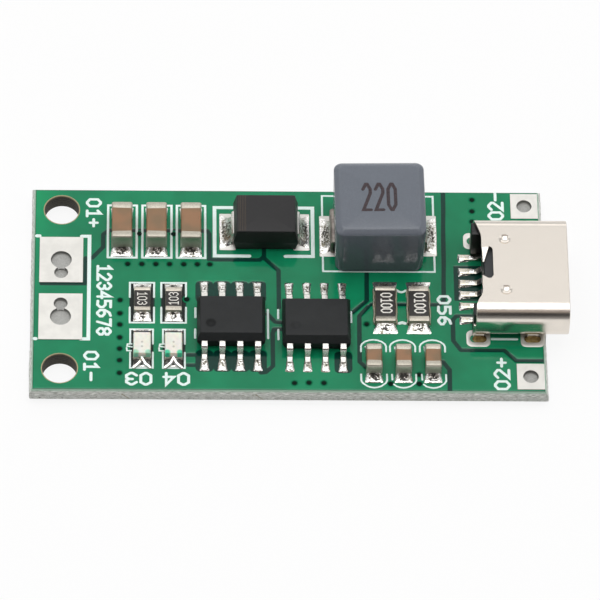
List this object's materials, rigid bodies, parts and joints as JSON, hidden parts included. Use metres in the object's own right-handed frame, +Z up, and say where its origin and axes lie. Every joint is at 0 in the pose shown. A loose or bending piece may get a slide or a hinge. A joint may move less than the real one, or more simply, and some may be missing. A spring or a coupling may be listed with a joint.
{
  "type": "battery charger module",
  "caption": "Small green circuit board that charges lithium cells: USB-C inlet, moulded inductor, chip parts and lamps on top, wire pads and mounting holes at the ends.",
  "frame": {"origin": "bottom centre of the whole module's bounding box, the inlet's overhang included", "axes": "+X along the board to the inlet's mouth, +Y across the board, +Z up from the soldered underside to the parts"},
  "size_m": [0.0384, 0.018, 0.0061],
  "materials": {
    "solder_mask": "glossy green lacquer over glass-fibre laminate",
    "tinned_pad": "tin-plated copper",
    "nickel_shell": "bright nickel-plated steel",
    "black_housing": "moulded black polymer",
    "contact_metal": "plated copper alloy",
    "black_epoxy": "matt moulded epoxy",
    "tinned_lead": "matt tin plating",
    "iron_composite": "matt grey moulded iron powder",
    "inductor_terminal_metal": "tin-plated copper strip",
    "diode_epoxy": "matt moulded epoxy",
    "diode_lead_metal": "tin-plated copper strip",
    "capacitor_ceramic": "brown ceramic with tinned ends",
    "resistor_ceramic": "black overcoat on ceramic with tinned ends",
    "lamp_base": "white laminate with tinned ends",
    "lamp_lens": "milky cast epoxy"
  },
  "bodies": {
    "root": {"board": "solder_mask", "battery_pad_positive": "tinned_pad", "battery_pad_negative": "tinned_pad", "input_pad_negative": "tinned_pad", "input_pad_positive": "tinned_pad", "usb_shell": "nickel_shell", "usb_housing": "black_housing", "usb_contact_1": "contact_metal", "usb_contact_2": "contact_metal", "usb_contact_3": "contact_metal", "usb_contact_4": "contact_metal", "usb_contact_5": "contact_metal", "usb_contact_6": "contact_metal", "charger_ic_body": "black_epoxy", "switch_ic_body": "black_epoxy", "charger_ic_lead_1": "tinned_lead", "charger_ic_lead_2": "tinned_lead", "charger_ic_lead_3": "tinned_lead", "charger_ic_lead_4": "tinned_lead", "charger_ic_lead_5": "tinned_lead", "charger_ic_lead_6": "tinned_lead", "charger_ic_lead_7": "tinned_lead", "charger_ic_lead_8": "tinned_lead", "switch_ic_lead_1": "tinned_lead", "switch_ic_lead_2": "tinned_lead", "switch_ic_lead_3": "tinned_lead", "switch_ic_lead_4": "tinned_lead", "switch_ic_lead_5": "tinned_lead", "switch_ic_lead_6": "tinned_lead", "switch_ic_lead_7": "tinned_lead", "switch_ic_lead_8": "tinned_lead", "inductor_body": "iron_composite", "inductor_terminal_left": "inductor_terminal_metal", "inductor_terminal_right": "inductor_terminal_metal", "diode_body": "diode_epoxy", "diode_lead_anode": "diode_lead_metal", "diode_lead_cathode": "diode_lead_metal", "output_capacitor_1": "capacitor_ceramic", "output_capacitor_2": "capacitor_ceramic", "output_capacitor_3": "capacitor_ceramic", "input_capacitor_1": "capacitor_ceramic", "input_capacitor_2": "capacitor_ceramic", "input_capacitor_3": "capacitor_ceramic", "sense_resistor_1": "resistor_ceramic", "sense_resistor_2": "resistor_ceramic", "lamp_resistor_1": "resistor_ceramic", "lamp_resistor_2": "resistor_ceramic", "lamp_1_base": "lamp_base", "lamp_2_base": "lamp_base", "lamp_1_lens": "lamp_lens", "lamp_2_lens": "lamp_lens"}
  },
  "joints": []
}
